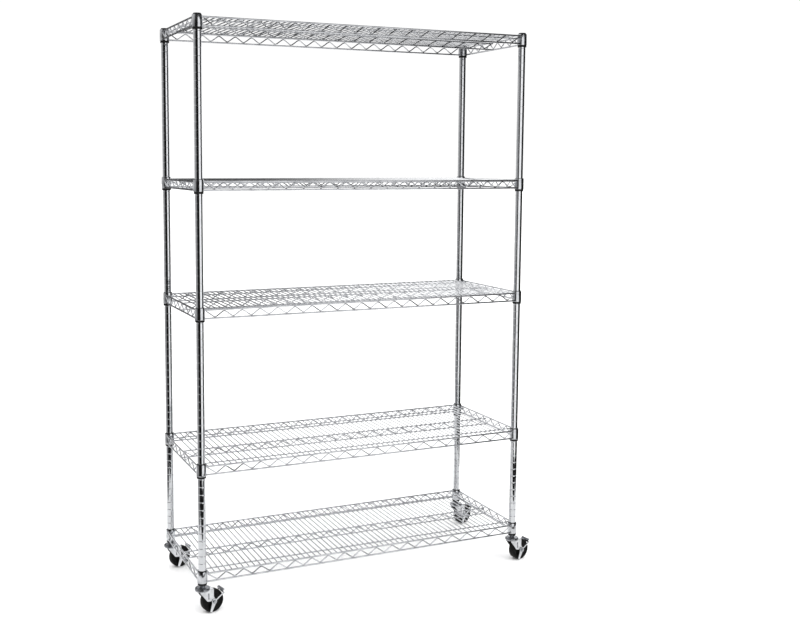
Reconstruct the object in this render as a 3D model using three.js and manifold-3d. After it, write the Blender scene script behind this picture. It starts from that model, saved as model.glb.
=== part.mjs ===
// Five-tier chrome wire shelf cart on four swivel casters with brake pedals.
// Millimetres. +X is the width (right), -Y is the front, +Z is up, the floor is z = 0.
import * as THREE from 'three';
import Module from 'manifold-3d';

const wasm = await Module();
wasm.setup();

// ---- driving dimensions -------------------------------------------------------------------
const INCH = 25.4;
const PLAY = 0.3;                        // gap left between pieces that touch in real life

const postSpacingX = 46.5 * INCH;        // between post centres, left to right
const postSpacingY = 16.5 * INCH;        // between post centres, front to back
const postRadius = 12.7;
const postWall = 1.2;
const postBottom = 95;
const postTop = 1924;
const insertHeight = 26;                 // threaded plug in the foot of each post
const capHeight = 2.7;

const topCollarTop = 1922;               // upper edge of the collars of the highest shelf
const shelfDrops = [0, 20, 36, 56, 70];  // inches below the highest shelf
const collarHeight = 38;
const collarRadiusTop = 16.9;
const collarRadiusBottom = 17.8;
const sleeveAbove = 1.5;                 // sleeve standing proud above its collar
const sleeveBelow = 7;                   // sleeve showing as a dark ring below its collar
const sleeveRadiusTop = 14.9;
const sleeveRadiusBottom = 15.6;

const rodSize = 5;                       // thickness of the truss rods
const trussOffset = 11;                  // truss plane outside the post centre line
const topRodDrop = 6.5;                  // top rod centre below the collar top
const trussHeight = 27;                  // between the centres of the two truss rods
const zigzagWire = 4;
const longBays = 10;
const middleBays = 5;
const shortBays = 4;
const deckWireCount = 19;
const deckWirePitch = 59.055;
const deckWireSize = 3.4;
const supportOffset = 171;               // lengthwise supports, from the middle of the depth

const wheelRadius = 38;
const wheelWidth = 26;
const tyreInnerRadius = 29;
const hubWidth = 27.4;
const trail = 34;                        // wheel centre behind the swivel axis
const axleRadius = 4;
const forkPlate = 2.5;
const forkInner = 14.2;                  // inner face of a fork leg from the wheel's mid plane
const crownBottom = 79;
const raceRadius = 24.8;
const pedalPlate = 2;
const pedalRise = 33;                    // degrees above level while the brake is off
const lockArmTurn = 216;                 // degrees from the pedal arm round to the lock arm
const bossRadius = 9.5;                  // round middle of the pedal's side plates

const corners = [
  { name: 'front_left', x: -1, y: -1, restAngle: 13 },
  { name: 'front_right', x: 1, y: -1, restAngle: 10 },
  { name: 'back_left', x: -1, y: 1, restAngle: 12 },
  { name: 'back_right', x: 1, y: 1, restAngle: 12 },
];

const chrome = { color: 0xc9ccd0, roughness: 0.18, metalness: 1.0 };
const blackPlastic = { color: 0x17181a, roughness: 0.45, metalness: 0.0 };
const blackRubber = { color: 0x101113, roughness: 0.65, metalness: 0.0 };
const steel = { color: 0x9fa3a8, roughness: 0.3, metalness: 1.0 };

const group = new THREE.Group();

// ---- shape helpers ------------------------------------------------------------------------
function add(name, geometry, finish) {
  const mesh = new THREE.Mesh(geometry, new THREE.MeshStandardMaterial(finish));
  mesh.name = name;
  group.add(mesh);
}

// Turned solid about Z from a closed (radius, height) outline that runs anticlockwise.
function turned(outline, segments) {
  const positions = [];
  const at = (i, [radius, height]) => {
    const angle = (2 * Math.PI * (i % segments)) / segments;
    return [radius * Math.cos(angle), radius * Math.sin(angle), height];
  };
  for (let i = 0; i < segments; i++) {
    outline.forEach((p, k) => {
      const q = outline[(k + 1) % outline.length];
      if (p[0] > 0) positions.push(...at(i, p), ...at(i + 1, p), ...at(i, q));
      if (q[0] > 0) positions.push(...at(i + 1, p), ...at(i + 1, q), ...at(i, q));
    });
  }
  const geometry = new THREE.BufferGeometry();
  geometry.setAttribute('position', new THREE.Float32BufferAttribute(positions, 3));
  geometry.computeVertexNormals();
  return geometry;
}

// Corner radius of a polygon whose flats stay outside the given radius.
function around(radius, segments) {
  return radius / Math.cos(Math.PI / segments);
}

// Flat plate: outline in X and Y, standing from zLow to zHigh.
function plate(points, zLow, zHigh) {
  const shape = new THREE.Shape(points.map(([x, y]) => new THREE.Vector2(x, y)));
  const settings = { depth: zHigh - zLow, bevelEnabled: false };
  return new THREE.ExtrudeGeometry(shape, settings).translate(0, 0, zLow);
}

// Upright plate: outline in X and Z, centred on the plane y = middle.
function upright(points, middle, thickness) {
  const geometry = plate(points, 0, thickness);
  return geometry.rotateX(Math.PI / 2).translate(0, middle + thickness / 2, 0);
}

// Points on a circle, from one angle to another in degrees, anticlockwise.
function arc(x, y, radius, from, to, steps) {
  return Array.from({ length: steps + 1 }, (_, i) => {
    const angle = THREE.MathUtils.degToRad(from + ((to - from) * i) / steps);
    return [x + radius * Math.cos(angle), y + radius * Math.sin(angle)];
  });
}

function box(x0, x1, y0, y1, z0, z1) {
  const geometry = new THREE.BoxGeometry(x1 - x0, y1 - y0, z1 - z0);
  return geometry.translate((x0 + x1) / 2, (y0 + y1) / 2, (z0 + z1) / 2);
}

// ---- exact booleans -----------------------------------------------------------------------
function toSolid(geometry) {
  const source = geometry.index ? geometry.toNonIndexed() : geometry;
  const position = source.getAttribute('position');
  const vertices = [];
  const triangles = [];
  const seen = new Map();
  for (let i = 0; i < position.count; i++) {
    const point = [position.getX(i), position.getY(i), position.getZ(i)];
    const key = point.map((value) => Math.round(value * 1e4)).join('_');
    if (!seen.has(key)) {
      seen.set(key, seen.size);
      vertices.push(...point);
    }
    triangles.push(seen.get(key));
  }
  const mesh = new wasm.Mesh({
    numProp: 3,
    vertProperties: new Float32Array(vertices),
    triVerts: new Uint32Array(triangles),
  });
  return new wasm.Manifold(mesh);
}

function fromSolid(solid) {
  const mesh = solid.getMesh();
  const geometry = new THREE.BufferGeometry();
  const vertices = new THREE.BufferAttribute(new Float32Array(mesh.vertProperties), 3);
  geometry.setAttribute('position', vertices);
  geometry.setIndex(new THREE.BufferAttribute(new Uint32Array(mesh.triVerts), 1));
  const separate = geometry.toNonIndexed();
  separate.computeVertexNormals();
  return separate;
}

function join(solids) {
  return solids.reduce((whole, next) => whole.add(next));
}

function cut(solid, geometries) {
  return solid.subtract(join(geometries.map(toSolid)));
}

// ---- posts with their foot plugs and caps ---------------------------------------------------
const boreRadius = postRadius - postWall;
const stemRadius = 5;

function postShape() {
  return turned([
    [stemRadius + PLAY, postBottom],
    [postRadius, postBottom],
    [postRadius, postTop],
    [boreRadius, postTop],
    [boreRadius, postBottom + insertHeight],
    [stemRadius + PLAY, postBottom + insertHeight],
  ], 16);
}

function capShape() {
  const seat = postTop + PLAY;
  return turned([
    [0, postTop - 10],
    [boreRadius - PLAY, postTop - 10],
    [boreRadius - PLAY, seat],
    [postRadius, seat],
    [postRadius, seat + capHeight * 0.6],
    [postRadius - 1.2, seat + capHeight],
    [0, seat + capHeight],
  ], 12);
}

// ---- one shelf: four collars, trusses on all four sides, middle truss, deck wires -----------
const halfX = postSpacingX / 2;
const halfY = postSpacingY / 2;
const rodX = halfX + trussOffset;
const rodY = halfY + trussOffset;
const bore = (height) => {
  const span = sleeveRadiusBottom - sleeveRadiusTop;
  const full = collarHeight + sleeveAbove + sleeveBelow;
  return sleeveRadiusTop + (span * (sleeveAbove - height)) / full;
};

// Two rods joined by a zigzag wire: a bar with alternating triangles cut out of it.
function truss(halfLength, bays, zTop, height) {
  const half = rodSize / 2;
  const low = zTop - height + half;
  const high = zTop - half;
  const bar = box(-halfLength, halfLength, -half, half, low - rodSize, high + rodSize);
  const reach = halfLength - rodSize;
  const halfBay = reach / bays;
  const inset = zigzagWire * 0.7;
  const triangles = [];
  for (let i = 0; i <= 2 * bays; i++) {
    const middle = -reach + i * halfBay;
    const left = Math.max(middle - halfBay + inset, -reach);
    const right = Math.min(middle + halfBay - inset, reach);
    const pointsUp = i % 2 === 1;
    const base = pointsUp ? low : high;
    const tip = pointsUp ? high - inset / 2 : low + inset / 2;
    triangles.push(pointsUp
      ? [[left, base], [right, base], [middle, tip]]
      : [[middle, tip], [right, base], [left, base]]);
  }
  return cut(toSolid(bar), triangles.map((points) => upright(points, 0, rodSize * 2)));
}

function longTruss(middle, bays, zTop, height) {
  return truss(rodX, bays, zTop, height).translate([0, middle, 0]);
}

function shortTruss(middle, zTop, height) {
  return truss(rodY, shortBays, zTop, height).rotate([0, 0, 90]).translate([middle, 0, 0]);
}

function deckPlate(zMiddle) {
  const edge = rodSize / 2;
  const outX = rodX + edge;
  const outY = rodY + edge;
  const corner = 20;
  const points = [
    [-outX + corner, -outY], [outX - corner, -outY], [outX, -outY + corner], [outX, outY - corner],
    [outX - corner, outY], [-outX + corner, outY], [-outX, outY - corner], [-outX, -outY + corner],
  ];
  const wireX = (i) => (i - (deckWireCount - 1) / 2) * deckWirePitch;
  const low = zMiddle - deckWireSize / 2;
  const high = zMiddle + deckWireSize / 2;
  const slots = [];
  for (let i = 0; i <= deckWireCount; i++) {
    const atEnd = i === 0 || i === deckWireCount;
    const left = i === 0 ? -rodX + edge : wireX(i - 1) + deckWireSize / 2;
    const right = i === deckWireCount ? rodX - edge : wireX(i) - deckWireSize / 2;
    const reach = atEnd ? halfY - 8 : rodY - edge;
    slots.push(box(left, right, -reach, reach, low - 1, high + 1));
  }
  return cut(toSolid(plate(points, low, high)), slots);
}

// Lengthwise support under the deck wires; only its raised ends reach the side trusses.
function support(middle, deckUnderside) {
  const high = deckUnderside - PLAY;
  const low = high - 4;
  const rise = deckUnderside + 2;
  const points = [
    [-rodX, low], [rodX, low], [rodX, rise], [rodX - 4, rise],
    [rodX - 4, high], [-rodX + 4, high], [-rodX + 4, rise], [-rodX, rise],
  ];
  return toSolid(upright(points, middle, 4));
}

// Shelf with the upper edge of its collars at z = 0.
function shelfShape() {
  const collarBottom = -collarHeight;
  const zTop = -topRodDrop;
  const deckUnderside = zTop - deckWireSize / 2;
  const middleTop = deckUnderside - PLAY - rodSize / 2;
  const pieces = [
    deckPlate(zTop),
    longTruss(-rodY, longBays, zTop, trussHeight),
    longTruss(rodY, longBays, zTop, trussHeight),
    longTruss(0, middleBays, middleTop, trussHeight - 5),
    shortTruss(-rodX, zTop, trussHeight),
    shortTruss(rodX, zTop, trussHeight),
    support(-supportOffset, deckUnderside),
    support(supportOffset, deckUnderside),
  ];
  const bores = [];
  for (const { x, y } of corners) {
    const collar = turned([
      [0, collarBottom],
      [collarRadiusBottom, collarBottom],
      [collarRadiusTop, 0],
      [0, 0],
    ], 12);
    const hole = turned([
      [0, collarBottom - 2],
      [bore(-collarHeight - 2) + PLAY, collarBottom - 2],
      [bore(2) + PLAY, 2],
      [0, 2],
    ], 12);
    pieces.push(toSolid(collar.translate(x * halfX, y * halfY, 0)));
    bores.push(hole.translate(x * halfX, y * halfY, 0));
  }
  return fromSolid(cut(join(pieces), bores));
}

function sleeveShape() {
  const low = -collarHeight - sleeveBelow;
  const high = sleeveAbove;
  const inner = around(postRadius + PLAY, 12);
  return turned([
    [inner, low],
    [sleeveRadiusBottom, low],
    [sleeveRadiusTop, high],
    [inner, high],
  ], 12);
}

// ---- caster pieces, swivel axis at the origin, wheel trailing along +X ----------------------
function stemShape() {
  const shoulder = postBottom - PLAY;
  return turned([
    [0, 84.8], [raceRadius, 84.8], [22, 89], [9, 90.5],
    [9, shoulder], [stemRadius, shoulder], [stemRadius, 118], [0, 118],
  ], 12);
}

function axleHole() {
  const radius = around(axleRadius + PLAY, 8);
  return new THREE.CylinderGeometry(radius, radius, 4 * wheelWidth, 8);
}

function forkShape() {
  const crown = turned([
    [0, crownBottom], [raceRadius, crownBottom + 1], [raceRadius, 84.5],
    [raceRadius - 2, 84.5], [20.5, 82], [0, 82],
  ], 12);
  const back = trail - 1;
  const bridge = box(-10, back, -forkInner - forkPlate, forkInner + forkPlate, crownBottom, 82);
  const legPoints = [
    [-16, 82], [-16, 74], [9, 42.5],
    ...arc(trail, wheelRadius, 8.5, 160, 410, 6),
    [back, 54], [back, 82],
  ];
  const legs = [-1, 1].map((side) => {
    return upright(legPoints, side * (forkInner + forkPlate / 2), forkPlate);
  });
  const hole = axleHole().translate(trail, 0, wheelRadius);
  return fromSolid(cut(join([crown, bridge, ...legs].map(toSolid)), [hole]));
}

// Solid turned about the axle line; outline gives (radius, distance along the axle).
function onAxle(outline, segments) {
  return turned(outline, segments).rotateX(Math.PI / 2).translate(trail, 0, wheelRadius);
}

function tyreShape() {
  const half = wheelWidth / 2;
  return onAxle([
    [tyreInnerRadius, -half + 2], [wheelRadius - 3, -half], [wheelRadius, -half + 5],
    [wheelRadius, half - 5], [wheelRadius - 3, half], [tyreInnerRadius, half - 2],
  ], 24);
}

function hubShape() {
  const half = hubWidth / 2;
  const rim = wheelWidth / 2 - 2;
  const edge = tyreInnerRadius - PLAY;
  return onAxle([
    [axleRadius + PLAY, -half], [10, -half], [13, -half + 5],
    [edge, -rim], [edge, rim], [13, half - 5],
    [10, half], [axleRadius + PLAY, half],
  ], 12);
}

const legOuter = forkInner + forkPlate;
const pedalInner = legOuter + PLAY;
const pedalOuter = pedalInner + pedalPlate;

function axleShape() {
  const face = pedalOuter + PLAY;
  return onAxle([
    [0, -face - 4], [6.5, -face - 4], [6.5, -face], [axleRadius, -face],
    [axleRadius, face], [6.5, face], [6.5, face + 5], [0, face + 5],
  ], 12);
}

// Side plate of the brake pedal: a round middle on the axle, a slim arm along +X out to the
// foot plate, and a tapered lock arm that hangs down beside the tyre.
function leverOutline() {
  const armEnd = wheelRadius + 4;
  const armHalf = 2.3;
  const armRoot = THREE.MathUtils.radToDeg(Math.asin(armHalf / bossRadius));
  const rootSpan = 57;
  const lockEnd = (turnFromArm, halfWidth) => {
    const angle = THREE.MathUtils.degToRad(lockArmTurn);
    const aside = THREE.MathUtils.degToRad(lockArmTurn + turnFromArm);
    const reach = wheelRadius - 3;
    return [
      reach * Math.cos(angle) + halfWidth * Math.cos(aside),
      reach * Math.sin(angle) + halfWidth * Math.sin(aside),
    ];
  };
  return [
    [armEnd, -armHalf], [armEnd, armHalf],
    ...arc(0, 0, bossRadius, armRoot, lockArmTurn - rootSpan, 5),
    lockEnd(-90, 4), lockEnd(90, 4),
    ...arc(0, 0, bossRadius, lockArmTurn + rootSpan, 360 - armRoot, 3),
  ];
}

// Brake pedal: two side plates on the axle, joined behind the tyre by a foot plate.
function pedalShape() {
  const plates = [-1, 1].map((side) => {
    return upright(leverOutline(), side * (pedalInner + pedalPlate / 2), pedalPlate);
  });
  const inner = wheelRadius + 2.5;
  const footPlate = box(inner, inner + 2.5, -pedalOuter, pedalOuter, -3, 9);
  const tread = box(inner, inner + 9.5, -pedalOuter, pedalOuter, 7, 9);
  const pieces = [...plates, footPlate, tread].map(toSolid);
  const geometry = fromSolid(cut(join(pieces), [axleHole()]));
  geometry.rotateY(-THREE.MathUtils.degToRad(pedalRise));
  return geometry.translate(trail, 0, wheelRadius);
}

// ---- assembly -----------------------------------------------------------------------------
const shelf = shelfShape();
shelfDrops.forEach((drop, level) => {
  const number = shelfDrops.length - level;
  const collarTop = topCollarTop - drop * INCH;
  add(`shelf_${number}`, shelf.clone().translate(0, 0, collarTop), chrome);
  for (const corner of corners) {
    const sleeve = sleeveShape().translate(corner.x * halfX, corner.y * halfY, collarTop);
    add(`sleeve_${number}_${corner.name}`, sleeve, blackPlastic);
  }
});

for (const corner of corners) {
  const place = (geometry, turn = 0) => {
    geometry.rotateZ(THREE.MathUtils.degToRad(turn));
    return geometry.translate(corner.x * halfX, corner.y * halfY, 0);
  };
  const turn = corner.restAngle;
  add(`post_${corner.name}`, place(postShape()), chrome);
  add(`post_cap_${corner.name}`, place(capShape()), blackPlastic);
  add(`caster_stem_${corner.name}`, place(stemShape()), steel);
  add(`fork_${corner.name}`, place(forkShape(), turn), chrome);
  add(`tyre_${corner.name}`, place(tyreShape(), turn), blackRubber);
  add(`wheel_hub_${corner.name}`, place(hubShape(), turn), blackPlastic);
  add(`axle_bolt_${corner.name}`, place(axleShape(), turn), steel);
  add(`brake_pedal_${corner.name}`, place(pedalShape(), turn), chrome);
}

// The origin sits on the floor under the middle of the whole object, wheels included.
const extent = new THREE.Box3().setFromObject(group);
const centre = extent.getCenter(new THREE.Vector3());
group.position.set(-centre.x, -centre.y, 0);

export default group;
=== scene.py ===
"""Chrome wire shelf cart on four swivel casters: fine surfaces, studio and camera."""

import math

import bmesh
import bpy
from mathutils import Matrix, Vector


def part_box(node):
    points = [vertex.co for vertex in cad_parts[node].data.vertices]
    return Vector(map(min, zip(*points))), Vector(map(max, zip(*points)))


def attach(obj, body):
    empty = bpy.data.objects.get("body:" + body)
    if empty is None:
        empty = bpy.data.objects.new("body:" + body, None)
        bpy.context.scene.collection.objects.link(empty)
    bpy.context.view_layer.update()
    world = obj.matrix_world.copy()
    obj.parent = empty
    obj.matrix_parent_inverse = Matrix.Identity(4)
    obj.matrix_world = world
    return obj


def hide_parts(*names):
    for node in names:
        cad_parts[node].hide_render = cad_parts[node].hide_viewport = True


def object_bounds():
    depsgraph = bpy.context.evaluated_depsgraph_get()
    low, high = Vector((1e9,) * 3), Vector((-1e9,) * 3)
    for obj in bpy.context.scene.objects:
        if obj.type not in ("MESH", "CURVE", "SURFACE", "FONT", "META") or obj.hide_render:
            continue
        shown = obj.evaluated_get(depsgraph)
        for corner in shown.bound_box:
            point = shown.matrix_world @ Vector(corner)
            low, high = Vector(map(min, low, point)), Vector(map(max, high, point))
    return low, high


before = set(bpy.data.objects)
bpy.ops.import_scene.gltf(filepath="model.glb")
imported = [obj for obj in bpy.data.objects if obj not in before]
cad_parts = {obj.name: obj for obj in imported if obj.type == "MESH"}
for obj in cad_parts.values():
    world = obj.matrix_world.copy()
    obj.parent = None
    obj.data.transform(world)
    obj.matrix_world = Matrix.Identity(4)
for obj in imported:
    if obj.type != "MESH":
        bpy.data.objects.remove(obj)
cad_low, cad_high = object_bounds()

MM = 0.001
INCH = 25.4 * MM
CORNERS = ("front_left", "front_right", "back_left", "back_right")
SHELVES = (1, 2, 3, 4, 5)

# ---- driving dimensions, in metres -----------------------------------------------------------
round_steps = 40  # facets round a post, cap, collar or raceway
post_radius = 12.7 * MM
groove_depth = 0.38 * MM
groove_half_width = 1.5 * MM
collar_height = 38 * MM
collar_radius_top = 16.4 * MM
collar_radius_bottom = 16.9 * MM
collar_wall = 1.3 * MM
top_rod_drop = 6.5 * MM
truss_height = 27 * MM
rod_radius = 2.9 * MM
zigzag_radius = 2.1 * MM
zigzag_reach = 8.9 * MM  # from the middle of a truss to a bend of its zigzag wire
end_chamfer = 0.35  # part of a wire's radius cut off at its ends
deck_wire_radius = 1.9 * MM
middle_rod_radius = 2.5 * MM
middle_truss_height = 22 * MM
support_radius = 2.3 * MM
weld_size = 3.4 * MM
deck_pitch = 19.685 * MM
zigzag_pitch = 59.055 * MM
truss_offset = 11 * MM  # from the line between two posts out to the truss
support_offset = 171 * MM  # from the middle of the cart to a lengthwise support
rod_shortfall = 10 * MM  # how far short of its post's axis a truss rod ends
sleeve_skirt = 7 * MM  # the part of a sleeve that shows under its collar
sleeve_slit = math.radians(5)
pedal_rise = math.radians(33)  # slope of the pedal's arm with the brake off


def middle(node):
    """Centre of a CAD node's box."""
    low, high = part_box(node)
    return (low + high) / 2


post_place = {c: Vector((middle(f"post_{c}").x, middle(f"post_{c}").y, 0)) for c in CORNERS}
trail = (Vector(middle("tyre_front_left").xy) - post_place["front_left"].xy).length
axle_height = middle("tyre_front_left").z
post_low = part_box("post_front_left")[0].z
post_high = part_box("post_front_left")[1].z
half_x = (post_place["front_right"].x - post_place["front_left"].x) / 2
half_y = (post_place["back_left"].y - post_place["front_left"].y) / 2
centre = (post_place["front_left"] + post_place["back_right"]) / 2


# ---- mesh helpers ----------------------------------------------------------------------------
class Builder:
    """Collects closed surfaces into one mesh."""

    def __init__(self):
        self.points = []
        self.faces = []
        self.finishes = []
        self.finish = 0

    def add(self, points, faces, matrix=None):
        """Append a surface with the current finish, which is an index into the materials."""
        start = len(self.points)
        matrix = matrix or Matrix.Identity(4)
        self.points += [matrix @ Vector(p) for p in points]
        self.faces += [tuple(start + i for i in face) for face in faces]
        self.finishes += [self.finish] * len(faces)

    def lathe(self, outline, segments, matrix=None, start=0.0, sweep=2 * math.pi):
        """Turned surface about Z from a closed anticlockwise (radius, height) outline."""
        whole = abs(sweep - 2 * math.pi) < 1e-6
        rings = segments if whole else segments + 1
        points = []
        for i in range(rings):
            angle = start + sweep * i / segments
            for radius, height in outline:
                points.append((radius * math.cos(angle), radius * math.sin(angle), height))
        count = len(outline)
        faces = []
        for i in range(segments):
            j = (i + 1) % rings
            for k in range(count):
                m = (k + 1) % count
                if outline[k][0] == 0 and outline[m][0] == 0:
                    continue
                quad = (i * count + k, j * count + k, j * count + m, i * count + m)
                faces.append(quad)
        if not whole:
            faces.append(tuple(range(count)))
            faces.append(tuple(segments * count + k for k in reversed(range(count))))
        self.add(points, faces, matrix)

    def sweep(self, path, radius, segments=10, matrix=None):
        """Round wire along a path, closed at both ends with a small chamfer."""
        path = [Vector(p) for p in path]
        tangents = []
        for i in range(len(path)):
            before = path[max(i - 1, 0)]
            after = path[min(i + 1, len(path) - 1)]
            tangents.append((after - before).normalized())
        side = tangents[0].orthogonal().normalized()
        chamfer = radius * end_chamfer
        first = (path[0], tangents[0], radius - chamfer)
        last = (path[-1], tangents[-1], radius - chamfer)
        stations = [first, (path[0] + tangents[0] * chamfer, tangents[0], radius)]
        stations += [(path[i], tangents[i], radius) for i in range(1, len(path) - 1)]
        stations += [(path[-1] - tangents[-1] * chamfer, tangents[-1], radius), last]
        points = []
        for place, tangent, size in stations:
            side = (side - tangent * side.dot(tangent)).normalized()
            other = tangent.cross(side)
            for k in range(segments):
                angle = 2 * math.pi * k / segments
                points.append(place + (side * math.cos(angle) + other * math.sin(angle)) * size)
        faces = []
        last_ring = (len(stations) - 1) * segments
        for i in range(len(stations) - 1):
            for k in range(segments):
                m = (k + 1) % segments
                a, b = i * segments, (i + 1) * segments
                faces.append((a + k, a + m, b + m, b + k))
        faces.append(tuple(reversed(range(segments))))
        faces.append(tuple(last_ring + k for k in range(segments)))
        self.add(points, faces, matrix)

    def slab(self, outline, low, high, matrix=None):
        """Straight prism over an anticlockwise XY outline."""
        count = len(outline)
        points = [(x, y, low) for x, y in outline] + [(x, y, high) for x, y in outline]
        faces = [tuple(reversed(range(count))), tuple(range(count, 2 * count))]
        for k in range(count):
            m = (k + 1) % count
            faces.append((k, m, count + m, count + k))
        self.add(points, faces, matrix)

    def object(self, name, materials, place=(0, 0, 0), sharp_angle=38, bevel=0.0):
        """Scene object with outward normals, edges sharper than sharp_angle kept crisp."""
        mesh = bpy.data.meshes.new(name)
        mesh.from_pydata(self.points, [], self.faces)
        for material in materials:
            mesh.materials.append(material)
        mesh.polygons.foreach_set("material_index", self.finishes)
        work = bmesh.new()
        work.from_mesh(mesh)
        bmesh.ops.remove_doubles(work, verts=work.verts, dist=1e-6)
        bmesh.ops.recalc_face_normals(work, faces=work.faces)
        if bevel:
            crisp = 0.6  # radians between the two faces of an edge
            edges = [e for e in work.edges if e.is_manifold and e.calc_face_angle() > crisp]
            bmesh.ops.bevel(
                work, geom=edges, offset=bevel, segments=2, profile=0.5,
                affect="EDGES", clamp_overlap=True,
            )
        limit = math.radians(sharp_angle)
        for edge in work.edges:
            edge.smooth = not edge.is_manifold or edge.calc_face_angle() < limit
        for face in work.faces:
            face.smooth = True
        work.to_mesh(mesh)
        work.free()
        piece = bpy.data.objects.new(name, mesh)
        piece.location = place
        bpy.context.scene.collection.objects.link(piece)
        return piece


def finish_piece(piece, body, slot, *nodes):
    """Put a piece on its body, in place of its CAD nodes. The slot argument is not used."""
    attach(piece, body)
    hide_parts(*nodes)
    return piece


def copy_of(piece, name, place):
    """Another object with the same mesh."""
    twin = bpy.data.objects.new(name, piece.data)
    twin.location = place
    bpy.context.scene.collection.objects.link(twin)
    return twin


# ---- materials -------------------------------------------------------------------------------
def new_material(name):
    """Node material, with its tree and its Principled shader."""
    material = bpy.data.materials.new(name)
    material.use_nodes = True
    tree = material.node_tree
    return material, tree, tree.nodes["Principled BSDF"]


def noise(tree, scale, detail=3.0, stretch=(1, 1, 1)):
    """Noise fixed to the object, mostly between 0.3 and 0.7."""
    coordinate = tree.nodes.new("ShaderNodeTexCoord")
    mapping = tree.nodes.new("ShaderNodeMapping")
    mapping.inputs["Scale"].default_value = stretch
    texture = tree.nodes.new("ShaderNodeTexNoise")
    texture.inputs["Scale"].default_value = scale
    texture.inputs["Detail"].default_value = detail
    tree.links.new(coordinate.outputs["Object"], mapping.inputs["Vector"])
    tree.links.new(mapping.outputs["Vector"], texture.inputs["Vector"])
    return texture.outputs["Fac"]


def ramp(tree, value, stops):
    """Colour of a value, from (position, colour) stops."""
    node = tree.nodes.new("ShaderNodeValToRGB")
    elements = node.color_ramp.elements
    while len(elements) < len(stops):
        elements.new(0.5)
    for element, (position, colour) in zip(elements, stops):
        element.position = position
        element.color = (*colour, 1)
    tree.links.new(value, node.inputs["Fac"])
    return node.outputs["Color"]


def spread(tree, value, low, high):
    """The usual range of a noise, 0.3 to 0.7, moved to low..high."""
    node = tree.nodes.new("ShaderNodeMapRange")
    node.inputs["From Min"].default_value = 0.3
    node.inputs["From Max"].default_value = 0.7
    node.inputs["To Min"].default_value = low
    node.inputs["To Max"].default_value = high
    tree.links.new(value, node.inputs["Value"])
    return node.outputs["Result"]


def bump(tree, shader, value, strength, distance):
    """Fine relief, its height in metres."""
    node = tree.nodes.new("ShaderNodeBump")
    node.inputs["Strength"].default_value = strength
    node.inputs["Distance"].default_value = distance
    tree.links.new(value, node.inputs["Height"])
    tree.links.new(node.outputs["Normal"], shader.inputs["Normal"])


def metal(name, light, dark, smooth, rough, grain, wave):
    """Plated metal: cloudy tint, uneven polish and a faint ripple."""
    material, tree, shader = new_material(name)
    shader.inputs["Metallic"].default_value = 1.0
    tint = ramp(tree, noise(tree, 38, 4), [(0.32, dark), (0.62, light)])
    tree.links.new(tint, shader.inputs["Base Color"])
    polish = spread(tree, noise(tree, grain, 4, (1, 1, 0.35)), smooth, rough)
    tree.links.new(polish, shader.inputs["Roughness"])
    bump(tree, shader, noise(tree, 95, 2), wave, 0.0004)
    return material


def moulded(name, light, dark, smooth, rough, grain, depth):
    """Plastic or rubber: slight mottling, uneven gloss and a fine grain."""
    material, tree, shader = new_material(name)
    tint = ramp(tree, noise(tree, 60, 5), [(0.35, dark), (0.7, light)])
    tree.links.new(tint, shader.inputs["Base Color"])
    shader.inputs["Specular IOR Level"].default_value = 0.14
    tree.links.new(spread(tree, noise(tree, 210, 3), smooth, rough), shader.inputs["Roughness"])
    bump(tree, shader, noise(tree, grain, 3), 0.35, depth)
    return material


post_chrome = metal(
    "post_chrome", (0.66, 0.67, 0.69), (0.58, 0.59, 0.61),
    smooth=0.05, rough=0.11, grain=260, wave=0.10,
)
wire_chrome = metal(
    "wire_chrome", (0.60, 0.61, 0.63), (0.42, 0.43, 0.45),
    smooth=0.10, rough=0.22, grain=420, wave=0.30,
)
collar_chrome = metal(
    "collar_chrome", (0.66, 0.67, 0.69), (0.40, 0.41, 0.43),
    smooth=0.06, rough=0.20, grain=300, wave=0.5,
)
plate_chrome = metal(
    "plate_chrome", (0.70, 0.71, 0.73), (0.52, 0.53, 0.55),
    smooth=0.10, rough=0.20, grain=320, wave=0.35,
)
# Dark steel on the stem, raceway and pedal foot; on the fork legs' ribs this same dark finish is
# a painted dark reflection stripe down the chrome.
dark_steel_and_painted_stripe = metal(
    "dark_steel_and_painted_stripe", (0.30, 0.31, 0.33), (0.10, 0.10, 0.11),
    smooth=0.16, rough=0.30, grain=300, wave=0.8,
)
zinc_steel = metal(
    "zinc_steel", (0.50, 0.51, 0.53), (0.32, 0.33, 0.35),
    smooth=0.20, rough=0.36, grain=600, wave=0.35,
)
sleeve_plastic = moulded(
    "sleeve_plastic", (0.010, 0.010, 0.011), (0.005, 0.005, 0.005),
    smooth=0.35, rough=0.55, grain=900, depth=0.0002,
)
cap_plastic = moulded(
    "cap_plastic", (0.022, 0.022, 0.024), (0.010, 0.010, 0.011),
    smooth=0.35, rough=0.5, grain=900, depth=0.0002,
)
hub_plastic = moulded(
    "hub_plastic", (0.006, 0.006, 0.006), (0.002, 0.002, 0.002),
    smooth=0.30, rough=0.5, grain=700, depth=0.0002,
)
tyre_rubber = moulded(
    "tyre_rubber", (0.006, 0.006, 0.006), (0.002, 0.002, 0.002),
    smooth=0.50, rough=0.75, grain=520, depth=0.0004,
)


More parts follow.
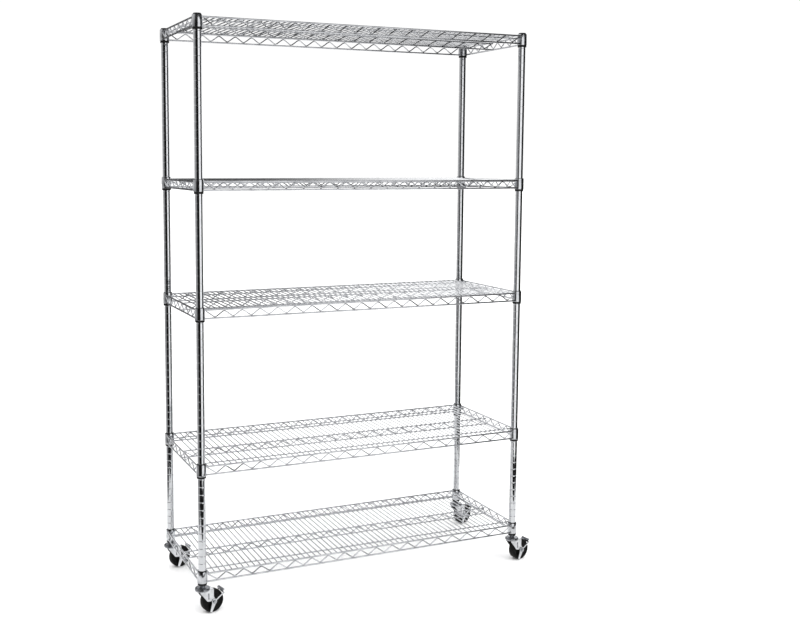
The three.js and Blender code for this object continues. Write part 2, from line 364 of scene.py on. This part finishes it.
# ---- posts -----------------------------------------------------------------------------------
def post_outline():
    """Grooved tube: a rounded ring groove every inch, a plug in the foot, open at the top."""
    bore_radius = 11.5 * MM
    plug_bore_radius = 5.3 * MM
    plug_top = post_low + 26 * MM
    groove_steps = (-1.25, -1.0, -0.7, -0.35, 0.0, 0.35, 0.7, 1.0, 1.25)
    outline = [(plug_bore_radius, post_low + 0.4 * MM), (11.9 * MM, post_low + 0.2 * MM)]
    outline.append((post_radius, post_low + 1.0 * MM))
    height = post_low + INCH
    while height < post_high - 0.5 * INCH:
        for step in groove_steps:
            depth = groove_depth * max(0, 1 - step * step)
            outline.append((post_radius - depth, height + step * groove_half_width))
        height += INCH
    outline.append((post_radius, post_high - 0.6 * MM))
    outline.append((post_radius - 0.5 * MM, post_high))
    outline.append((bore_radius, post_high))
    outline.append((bore_radius, plug_top))
    outline.append((plug_bore_radius, plug_top))
    return outline


def one_per_corner(builder, node, ending, material, slot, sharp_angle):
    """The same turned piece at each of the four posts."""
    corner = CORNERS[0]
    place = post_place[corner]
    first = builder.object(f"{node}_{corner}_{ending}", [material], place, sharp_angle)
    finish_piece(first, "frame", slot, f"{node}_{corner}")
    for corner in CORNERS[1:]:
        twin = copy_of(first, f"{node}_{corner}_{ending}", post_place[corner])
        finish_piece(twin, "frame", slot, f"{node}_{corner}")


tube = Builder()
tube.lathe(post_outline(), round_steps)
one_per_corner(tube, "post", "tube", post_chrome, "chrome_tube", 60)

cap = Builder()
cap.lathe(
    [
        (0, post_high - 10 * MM), (10.6 * MM, post_high - 10 * MM),
        (11.2 * MM, post_high - 9.2 * MM), (11.2 * MM, post_high + 0.3 * MM),
        (12.2 * MM, post_high + 0.3 * MM), (12.6 * MM, post_high + 0.7 * MM),
        (12.6 * MM, post_high + 1.6 * MM), (12.1 * MM, post_high + 2.3 * MM),
        (11.0 * MM, post_high + 2.7 * MM), (7.5 * MM, post_high + 2.95 * MM),
        (0, post_high + 3.0 * MM),
    ],
    round_steps,
)
one_per_corner(cap, "post_cap", "dome", cap_plastic, "cap_plastic", 38)

# ---- split sleeves ---------------------------------------------------------------------------
sleeve_low = -(collar_height + sleeve_skirt)
sleeve_outline = [
    (12.95 * MM, sleeve_low + 0.3 * MM), (13.3 * MM, sleeve_low), (15.0 * MM, sleeve_low),
    (15.5 * MM, sleeve_low + 0.5 * MM), (15.5 * MM, -collar_height - 0.6 * MM),
    (15.0 * MM, -collar_height + 1.0 * MM), (14.35 * MM, 0.6 * MM),
    (14.0 * MM, 1.4 * MM), (13.2 * MM, 1.4 * MM), (12.95 * MM, 1.0 * MM),
]
halves = Builder()
for turn in (0.0, math.pi):
    halves.lathe(sleeve_outline, 22, None, turn + sleeve_slit / 2, math.pi - sleeve_slit)
shelf_top = {n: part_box(f"shelf_{n}")[1].z for n in SHELVES}
first_sleeve = None
for number in SHELVES:
    for corner in CORNERS:
        name = f"sleeve_{number}_{corner}"
        place = post_place[corner] + Vector((0, 0, shelf_top[number]))
        if first_sleeve is None:
            sleeve = first_sleeve = halves.object(f"{name}_halves", [sleeve_plastic], place)
        else:
            sleeve = copy_of(first_sleeve, f"{name}_halves", place)
        finish_piece(sleeve, "frame", "sleeve_plastic", name)


# ---- wire shelves ----------------------------------------------------------------------------
def zigzag_path(length, pitch, top, height):
    """Snake wire between the two rods of a truss, in X and Z, with rounded bends.

    A sharpness of 1 would give straight legs with pointed bends, and 0 a plain wave.
    """
    bays = max(1, round(length / pitch))
    reach = zigzag_reach * height / truss_height
    steps = 12
    sharpness = 0.9
    points = []
    for i in range(bays * steps + 1):
        phase = 2 * math.pi * i / steps
        wave = math.asin(sharpness * math.cos(phase)) / math.asin(sharpness)
        x = -length / 2 + length * i / (bays * steps)
        points.append(Vector((x, 0, top - height / 2 + wave * reach)))
    return points


def straight(start, end):
    """Path of a straight wire."""
    return [Vector(start), Vector(start).lerp(Vector(end), 0.5), Vector(end)]


def truss(shelf, length, top, height, matrix, rods=rod_radius):
    """Two rods along X, one above the other, with a zigzag wire between them."""
    for level in (top, top - height):
        path = straight((-length / 2, 0, level), (length / 2, 0, level))
        shelf.sweep(path, rods, 12, matrix)
    inner = length - 14 * MM
    shelf.sweep(zigzag_path(inner, zigzag_pitch, top, height), zigzag_radius, 8, matrix)


def weld(shelf, place, size, stretch=(1, 1, 1)):
    """Small flattened bead where a rod meets a collar."""
    rings = 6
    outline = []
    for i in range(rings + 1):
        angle = -math.pi / 2 + math.pi * i / rings
        radius = 0 if i in (0, rings) else size * math.cos(angle)
        outline.append((radius, size * math.sin(angle)))
    scale = Matrix.Diagonal((*stretch, 1))
    shelf.lathe(outline, 10, Matrix.Translation(place) @ scale)


def build_shelf():
    """One welded shelf with the upper edge of its collars at height zero.

    Rods and wires have finish 0, collars and weld beads have finish 1.
    """
    shelf = Builder()
    rod_x = half_x + truss_offset
    rod_y = half_y + truss_offset
    top = -top_rod_drop
    low = top - truss_height
    reach_x = 2 * (half_x - rod_shortfall)
    reach_y = 2 * (half_y - rod_shortfall)
    quarter = Matrix.Rotation(math.pi / 2, 4, "Z")
    for side in (-1, 1):
        truss(shelf, reach_x, top, truss_height, Matrix.Translation((0, side * rod_y, 0)))
        move = Matrix.Translation((side * rod_x, 0, 0)) @ quarter
        truss(shelf, reach_y, top, truss_height, move)
    middle_top = top - deck_wire_radius - rod_radius
    middle_span = 2 * rod_x - 2 * rod_radius
    truss(
        shelf, middle_span, middle_top, middle_truss_height, Matrix.Identity(4), middle_rod_radius
    )
    for side in (-1, 1):
        level = top - deck_wire_radius - 2.2 * MM
        y = side * support_offset
        support = straight((-rod_x + rod_radius, y, level), (rod_x - rod_radius, y, level))
        shelf.sweep(support, support_radius, 10)
    wires_each_side = int((half_x - 17 * MM) / deck_pitch)
    deck_level = top + 0.6 * MM
    for i in range(-wires_each_side, wires_each_side + 1):
        x = i * deck_pitch
        wire = straight((x, -rod_y, deck_level), (x, rod_y, deck_level))
        shelf.sweep(wire, deck_wire_radius, 8)
    collar_low = -collar_height
    inner_low = collar_radius_bottom - collar_wall
    inner_top = collar_radius_top - collar_wall
    collar = [
        (inner_low, collar_low + 0.5 * MM), (inner_low + 0.4 * MM, collar_low),
        (collar_radius_bottom - 0.3 * MM, collar_low),
        (collar_radius_bottom, collar_low + 0.5 * MM),
        (collar_radius_bottom - 0.15 * MM, collar_low + 3.5 * MM),
        (collar_radius_top + 0.35 * MM, collar_low + 7 * MM),
        (collar_radius_top, -1.0 * MM), (collar_radius_top - 0.4 * MM, 0),
        (inner_top + 0.3 * MM, 0), (inner_top, -0.5 * MM),
    ]
    weld_inset = 12.5 * MM
    shelf.finish = 1
    for sx in (-1, 1):
        for sy in (-1, 1):
            spot = Vector((sx * half_x, sy * half_y, 0))
            shelf.lathe(collar, round_steps, Matrix.Translation(spot))
            for level in (top, low):
                along = Vector((sx * (half_x - weld_inset), sy * rod_y, level))
                weld(shelf, along, weld_size, (1.5, 0.9, 0.9))
                across = Vector((sx * rod_x, sy * (half_y - weld_inset), level))
                weld(shelf, across, weld_size, (0.9, 1.5, 0.9))
    return shelf


shelf_builder = build_shelf()
first_shelf = None
for number in SHELVES:
    place = centre + Vector((0, 0, shelf_top[number]))
    name = f"shelf_{number}_wires"
    if first_shelf is None:
        shelf = first_shelf = shelf_builder.object(name, [wire_chrome, collar_chrome], place)
    else:
        shelf = copy_of(first_shelf, name, place)
    finish_piece(shelf, "frame", "chrome_wire", f"shelf_{number}")


# ---- casters, built about the swivel axis with the wheel trailing along +X -------------------
def rounded(outline, radius, steps=4):
    """The same XY outline with its corners rounded."""
    result = []
    count = len(outline)
    for i in range(count):
        corner = Vector(outline[i])
        back = Vector(outline[i - 1]) - corner
        ahead = Vector(outline[(i + 1) % count]) - corner
        cut = min(radius, back.length * 0.45, ahead.length * 0.45)
        start = corner + back.normalized() * cut
        end = corner + ahead.normalized() * cut
        for k in range(steps + 1):
            t = k / steps
            bend = start * (1 - t) ** 2 + corner * 2 * t * (1 - t) + end * t * t
            result.append((bend.x, bend.y))
    return result


# UPRIGHT stands an XY outline up in X and Z, AXLE lays a turned piece along the axle.
UPRIGHT = Matrix.Rotation(math.pi / 2, 4, "X")
AXLE = Matrix.Translation((trail, 0, axle_height)) @ UPRIGHT


def arc(x, z, radius, start, end, steps):
    """Points on a circle, from one angle to another in degrees."""
    points = []
    for i in range(steps + 1):
        angle = math.radians(start + (end - start) * i / steps)
        points.append((x + radius * math.cos(angle), z + radius * math.sin(angle)))
    return points


def in_metres(points):
    """Outline in metres from one in millimetres."""
    return [(x * MM, z * MM) for x, z in points]


def hexagon(radius, rounding):
    """Outline of a bolt head or nut with slightly rounded corners."""
    corners = []
    for k in range(6):
        angle = math.pi * k / 3
        corners.append((radius * math.cos(angle), radius * math.sin(angle)))
    return rounded(corners, rounding, 2)


def side_plate(part, outline, inner, thickness, side, base=Matrix.Identity(4)):
    """Upright plate beside the wheel, its inner face that far from the wheel's middle."""
    outer_y = inner + thickness if side > 0 else -inner
    part.slab(outline, 0, thickness, base @ Matrix.Translation((0, outer_y, 0)) @ UPRIGHT)


def leg_outline():
    """Fork leg: a wedge from the raceway to the boss round the axle, listed in millimetres."""
    top = 81.8
    back = trail / MM - 1.2
    boss_radius = 8.2
    points = [(-15.5, top), (-15.5, 74.5), (-12, 71), (8.6, 43.6), (12, 42.2)]
    points += arc(trail / MM, axle_height / MM, boss_radius, 160, 410, 14)
    points += [(back, 55), (back, top)]
    return in_metres(points)


def stem_piece():
    """Domed top plate, hexagon and a plain stem, which is hidden in the post."""
    part = Builder()
    plate_top, hexagon_top, stem_top = 90.2, 94.6, 118
    stem_radius = 5
    plate = [
        (0, 84.9), (23.6, 84.9), (24.7, 85.8), (24.4, 87.0), (22.6, 88.6), (19.5, 89.6),
        (17.0, 89.8), (10.5, plate_top), (0, plate_top),
    ]
    part.lathe(in_metres(plate), round_steps)
    part.slab(hexagon(9.4 * MM, 0.8 * MM), plate_top * MM, hexagon_top * MM)
    stem = [
        (0, hexagon_top), (stem_radius, hexagon_top), (stem_radius, stem_top - 1),
        (stem_radius - 0.8, stem_top), (0, stem_top),
    ]
    part.lathe(in_metres(stem), 24)
    return part


def fork_piece():
    """Raceway and ribs in finish 1, bridge, legs and axle bosses in finish 0. The ribs' dark
    finish is a painted dark reflection stripe down each chrome leg.
    """
    part = Builder()
    leg_inner, leg_thickness = 14.3 * MM, 2.5 * MM
    leg_outer = leg_inner + leg_thickness
    raceway_low = 79
    raceway = [
        (0, raceway_low), (21.5, raceway_low), (23.6, 79.6), (24.8, 81.2), (24.8, 84.0),
        (24.2, 84.6), (23.2, 84.6), (22.8, 84.0), (22.6, 82.6), (21.2, 81.9), (0, 81.9),
    ]
    part.finish = 1
    part.lathe(in_metres(raceway), round_steps)
    part.finish = 0
    bridge = in_metres([(-10, -16.6), (32.8, -16.6), (32.8, 16.6), (-10, 16.6)])
    part.slab(rounded(bridge, 3 * MM), raceway_low * MM, 81.6 * MM)
    # Thin rib down each leg in the dark finish 1: a painted dark reflection stripe on the chrome
    # leg.
    stripe_rib_x, stripe_rib_low, stripe_rib_high, stripe_rib_half_width = 14, 51, 68, 2.2
    painted_stripe_rib = arc(stripe_rib_x, stripe_rib_high, stripe_rib_half_width, 0, 180, 6)
    painted_stripe_rib += arc(stripe_rib_x, stripe_rib_low, stripe_rib_half_width, 180, 360, 6)
    ring = in_metres([(4.3, -0.2), (8.0, -0.2), (7.6, 0.25), (4.3, 0.25)])
    for side in (-1, 1):
        side_plate(part, rounded(leg_outline(), 2.5 * MM, 3), leg_inner, leg_thickness, side)
        on_leg = Matrix.Translation((0, side * (leg_outer + 0.1 * MM), 0)) @ UPRIGHT
        part.finish = 1
        part.slab(in_metres(painted_stripe_rib), -0.9 * MM, 0.9 * MM, on_leg)
        part.finish = 0
        boss = Matrix.Translation((trail, side * leg_outer, axle_height))
        boss = boss @ Matrix.Rotation(-side * math.pi / 2, 4, "X")
        part.lathe(ring, 28, boss)
    return part


def tyre_piece():
    """Rubber tyre with rounded shoulders."""
    part = Builder()
    profile = [
        (29, -11), (30, -12), (33, -12.9), (35.2, -12.7), (36.6, -11.6), (37.5, -9.6),
        (37.9, -6.5), (38, 0), (37.9, 6.5), (37.5, 9.6), (36.6, 11.6), (35.2, 12.7),
        (33, 12.9), (30, 12), (29, 11),
    ]
    part.lathe(in_metres(profile), 72, AXLE)
    return part


def hub_piece():
    """Dished wheel hub with six ribs on each side."""
    part = Builder()
    face = [
        (4.4, -13.6), (8.5, -13.6), (9.6, -13.0), (10.2, -11.0), (12.0, -8.6), (21.0, -8.2),
        (24.4, -9.4), (26.0, -11.2), (27.4, -11.6), (28.7, -10.9),
    ]
    mirrored = [(r, -z) for r, z in reversed(face)]
    part.lathe(in_metres(face + mirrored), 60, AXLE)
    rib = in_metres([(10, -1.1), (25, -0.8), (25, 0.8), (10, 1.1)])
    rib_low, rib_high = 8.0 * MM, 11.0 * MM
    for side in (-1, 1):
        low, high = sorted((side * rib_low, side * rib_high))
        for k in range(6):
            turn = Matrix.Rotation(math.pi * k / 3, 4, "Z")
            part.slab(rib, low, high, AXLE @ turn)
    return part


def axle_piece():
    """Bolt through the fork and the wheel, a head at one end and a nut at the other."""
    part = Builder()
    face = 19.4
    head_end, nut_end, tip_end = -face - 4.0, face + 4.6, face + 5.0
    bolt_radius = 3.95
    bolt = [(0, -face), (bolt_radius, -face), (bolt_radius, face), (0, face)]
    part.lathe(in_metres(bolt), 24, AXLE)
    for low, high in ((head_end, -face), (face, nut_end)):
        part.slab(hexagon(6.4 * MM, 0.7 * MM), low * MM, high * MM, AXLE)
    tip = [(0, nut_end), (3.4, nut_end), (2.9, tip_end), (0, tip_end)]
    part.lathe(in_metres(tip), 20, AXLE)
    return part


def lever_outline():
    """Pedal side plate in millimetres: slim arm along +X, round boss, tapered lock arm."""
    boss_radius = 9.4
    arm_end, arm_half_width = 42, 2.2
    lock_end, lock_half_width = 35, 3.3
    lock_bearing = 216
    lock_root_span = 48
    arm_root = math.degrees(math.asin(arm_half_width / boss_radius))
    lock_angle = math.radians(lock_bearing)
    along = Vector((math.cos(lock_angle), math.sin(lock_angle)))
    aside = Vector((-along.y, along.x))
    points = [(arm_end, -arm_half_width), (arm_end, arm_half_width)]
    points += arc(0, 0, boss_radius, arm_root, lock_bearing - lock_root_span, 12)
    for edge in (-lock_half_width, lock_half_width):
        points.append(tuple(along * lock_end + aside * edge))
    points += arc(0, 0, boss_radius, lock_bearing + lock_root_span, 360 - arm_root, 8)
    return points


def pedal_piece():
    """Brake pedal: two side plates on the axle, joined by a curled foot plate in finish 1."""
    part = Builder()
    lever_inner, lever_thickness = 17.0 * MM, 2.0 * MM
    lever_outer = lever_inner + lever_thickness
    base = Matrix.Translation((trail, 0, axle_height)) @ Matrix.Rotation(-pedal_rise, 4, "Y")
    lever = rounded(in_metres(lever_outline()), 1.4 * MM, 3)
    for side in (-1, 1):
        side_plate(part, lever, lever_inner, lever_thickness, side, base)
    foot = [
        (40.6, -3), (42.6, -3), (43.0, 4.8), (44.2, 6.2), (50, 7.0), (50, 8.9), (43.6, 8.9),
        (41.2, 7.4),
    ]
    part.finish = 1
    side_plate(part, in_metres(foot), -lever_outer, 2 * lever_outer, 1, base)
    return part


def rest_turn(corner):
    """Direction in which the caster trails, seen from above."""
    wheel = middle(f"tyre_{corner}") - post_place[corner]
    return math.atan2(wheel.y, wheel.x)


# Node, builder, materials by finish, kind of body, slot, bevel of its sharp edges.
caster_parts = [
    ("caster_stem", stem_piece, [dark_steel_and_painted_stripe], "frame", "zinc_steel", 0.0),
    ("fork", fork_piece, [plate_chrome, dark_steel_and_painted_stripe], "swivel", "chrome_fork", 0.35 * MM),
    ("axle_bolt", axle_piece, [zinc_steel], "swivel", "zinc_steel", 0.3 * MM),
    ("tyre", tyre_piece, [tyre_rubber], "wheel", "tyre_rubber", 0.0),
    ("wheel_hub", hub_piece, [hub_plastic], "wheel", "hub_plastic", 0.0),
    ("brake_pedal", pedal_piece, [plate_chrome, dark_steel_and_painted_stripe], "brake", "chrome_fork", 0.35 * MM),
]
for kind, build, materials, body, slot, bevel in caster_parts:
    built = build()
    for corner in CORNERS:
        name = f"{kind}_{corner}_detail"
        piece = built.object(name, materials, post_place[corner], bevel=bevel)
        turn = 0 if kind == "caster_stem" else rest_turn(corner)
        piece.data.transform(Matrix.Rotation(turn, 4, "Z"))
        owner = body if body == "frame" else f"{body}_{corner}"
        finish_piece(piece, owner, slot, f"{kind}_{corner}")

# ---- studio ----------------------------------------------------------------------------------
# Reflections see a dark room with pale bands, listed by bearing with the light there. A bearing
# is in degrees from behind the camera's place, positive to the right of the view. The wall
# bands hold near the horizon and the far bands above and below it. The horizon share is given
# by the upward part of a direction, from -1 straight down to 1 straight up.
camera_yaw = math.radians(-23.528)
wall_bands = [
    (-177, 1.0), (-171, 0.04), (-141, 0.04), (-131, 1.0), (-122, 0.8), (-112, 0.3),
    (-54, 0.2), (-40, 0.006), (60, 0.01), (124, 0.02), (138, 0.8), (165, 1.0),
]
far_bands = [
    (-172, 1.0), (-161, 0.2), (-145, 0.05), (-130, 0.5), (-56, 0.4), (-30, 0.03),
    (60, 0.03), (124, 0.05), (140, 0.8), (172, 1.0),
]
horizon_share = [(-0.60, 0.0), (-0.50, 1.0), (0.26, 1.0), (0.38, 0.0)]
room_strength = 1.5
white_strength = 1.04
floor_card_strength = 1.1
window_card_strength = 1.4


def grey(value):
    """Colour with no tint."""
    return (value, value, value)


def flat_sheet(name, corners, material):
    """One flat rectangle."""
    mesh = bpy.data.meshes.new(name)
    mesh.from_pydata(corners, [], [(0, 1, 2, 3)])
    mesh.materials.append(material)
    sheet = bpy.data.objects.new(name, mesh)
    bpy.context.scene.collection.objects.link(sheet)
    return sheet


def level_corners(low_x, high_x, low_y, high_y, level):
    """Corners of a level rectangle, anticlockwise from above."""
    return [(low_x, low_y, level), (high_x, low_y, level), (high_x, high_y, level),
            (low_x, high_y, level)]


def pale_floor():
    """Wide matt floor, which reflections don't see."""
    reach = 60.0
    material, tree, shader = new_material("pale_floor")
    tint = ramp(tree, noise(tree, 2.0, 2), [(0.3, grey(0.90)), (0.7, grey(0.93))])
    tree.links.new(tint, shader.inputs["Base Color"])
    shader.inputs["Roughness"].default_value = 0.9
    floor = flat_sheet("floor", level_corners(-reach, reach, -reach, reach, 0), material)
    floor.visible_glossy = False


def reflection_card(name, corners, strength):
    """Flat white card which only reflections see."""
    material, tree, shader = new_material("white_card")
    tint = ramp(tree, noise(tree, 3.0, 2), [(0.3, grey(0.94)), (0.7, grey(0.98))])
    tree.links.new(tint, shader.inputs["Emission Color"])
    shader.inputs["Emission Strength"].default_value = strength
    shader.inputs["Base Color"].default_value = (0, 0, 0, 1)
    card = flat_sheet(name, corners, material)
    card.visible_camera = False
    card.visible_diffuse = False
    card.visible_shadow = False


def studio_world():
    """White all round, except that reflections see the room of bands."""
    world = bpy.data.worlds.new("studio")
    world.use_nodes = True
    tree = world.node_tree
    nodes, links = tree.nodes, tree.links
    coordinate = nodes.new("ShaderNodeTexCoord")
    split = nodes.new("ShaderNodeSeparateXYZ")
    links.new(coordinate.outputs["Generated"], split.inputs["Vector"])
    angle = nodes.new("ShaderNodeMath")
    angle.operation = "ARCTAN2"
    links.new(split.outputs["Y"], angle.inputs[0])
    links.new(split.outputs["X"], angle.inputs[1])
    turn = nodes.new("ShaderNodeMapRange")
    turn.inputs["From Min"].default_value = -math.pi
    turn.inputs["From Max"].default_value = math.pi
    links.new(angle.outputs[0], turn.inputs["Value"])
    height = nodes.new("ShaderNodeMapRange")
    height.inputs["From Min"].default_value = -1
    links.new(split.outputs["Z"], height.inputs["Value"])

    def ramp_place(bearing):
        """Where a bearing falls between 0 and 1 on the turn about Z."""
        behind = -90 + math.degrees(camera_yaw)
        return ((behind + bearing + 180) % 360) / 360

    def ring_of_light(bands):
        stops = sorted((ramp_place(bearing), value) for bearing, value in bands)
        return ramp(tree, turn.outputs["Result"], [(at, grey(value)) for at, value in stops])

    walls = ring_of_light(wall_bands)
    far = ring_of_light(far_bands)
    share_stops = [(0.5 + z / 2, grey(value)) for z, value in horizon_share]
    blend = nodes.new("ShaderNodeMix")
    blend.data_type = "RGBA"
    links.new(ramp(tree, height.outputs["Result"], share_stops), blend.inputs["Factor"])
    links.new(far, blend.inputs["A"])
    links.new(walls, blend.inputs["B"])
    room = nodes["Background"]
    links.new(blend.outputs["Result"], room.inputs["Color"])
    room.inputs["Strength"].default_value = room_strength
    white = nodes.new("ShaderNodeBackground")
    white.inputs["Color"].default_value = (1, 1, 1, 1)
    white.inputs["Strength"].default_value = white_strength
    path = nodes.new("ShaderNodeLightPath")
    mix = nodes.new("ShaderNodeMixShader")
    links.new(path.outputs["Is Glossy Ray"], mix.inputs["Fac"])
    links.new(white.outputs["Background"], mix.inputs[1])
    links.new(room.outputs["Background"], mix.inputs[2])
    links.new(mix.outputs["Shader"], nodes["World Output"].inputs["Surface"])
    bpy.context.scene.world = world


def soft_sun(name, tilt, bearing, power, softness):
    """Wide soft light from far away, which reflections don't see. Angles are in degrees."""
    light = bpy.data.lights.new(name, "SUN")
    light.energy = power
    light.angle = math.radians(softness)
    lamp = bpy.data.objects.new(name, light)
    lamp.rotation_euler = (math.radians(tilt), 0, math.radians(bearing))
    lamp.visible_glossy = False
    bpy.context.scene.collection.objects.link(lamp)


pale_floor()
studio_world()

# Bright floor near the cart, a hair under the floor itself.
near, beside, beyond = 0.66, 0.75, 2.5
card_level = -0.002
floor_corners = level_corners(
    cad_low[0] - beside, cad_high[0] + beside, cad_low[1] - near, cad_high[1] + beyond, card_level
)
reflection_card("floor_card", floor_corners, floor_card_strength)

# Tall window in front of the cart.
window_left, window_right = -0.62, 1.02
window_low, window_high = 0.02, 2.50
window_y = -1.5
window_corners = [
    (window_left, window_y, window_low), (window_right, window_y, window_low),
    (window_right, window_y, window_high), (window_left, window_y, window_high),
]
reflection_card("window_card", window_corners, window_card_strength)

soft_sun("top_light", tilt=8, bearing=20, power=1.7, softness=80)
soft_sun("front_light", tilt=48, bearing=25, power=0.8, softness=60)

# ---- camera ----------------------------------------------------------------------------------
# Shifts are parts of the frame's width.
camera_place = (-1.4973, -3.4014, 1.4752)
camera_down = math.radians(5.671)
camera_roll = math.radians(0.263)
lens = 46.863
shift_right, shift_up = 0.06725, -0.06125
camera_data = bpy.data.cameras.new("camera")
camera_data.sensor_width = 36
camera_data.lens = lens
camera_data.shift_x = shift_right
camera_data.shift_y = shift_up
camera_data.clip_end = 200
camera = bpy.data.objects.new("camera", camera_data)
camera.location = camera_place
forward = Vector((
    -math.sin(camera_yaw) * math.cos(camera_down),
    math.cos(camera_yaw) * math.cos(camera_down),
    -math.sin(camera_down),
))
camera.rotation_mode = "QUATERNION"
look = forward.to_track_quat("-Z", "Y")
camera.rotation_quaternion = look @ Matrix.Rotation(camera_roll, 3, "Z").to_quaternion()
bpy.context.scene.collection.objects.link(camera)
bpy.context.scene.camera = camera
bpy.context.scene.view_settings.view_transform = "Standard"
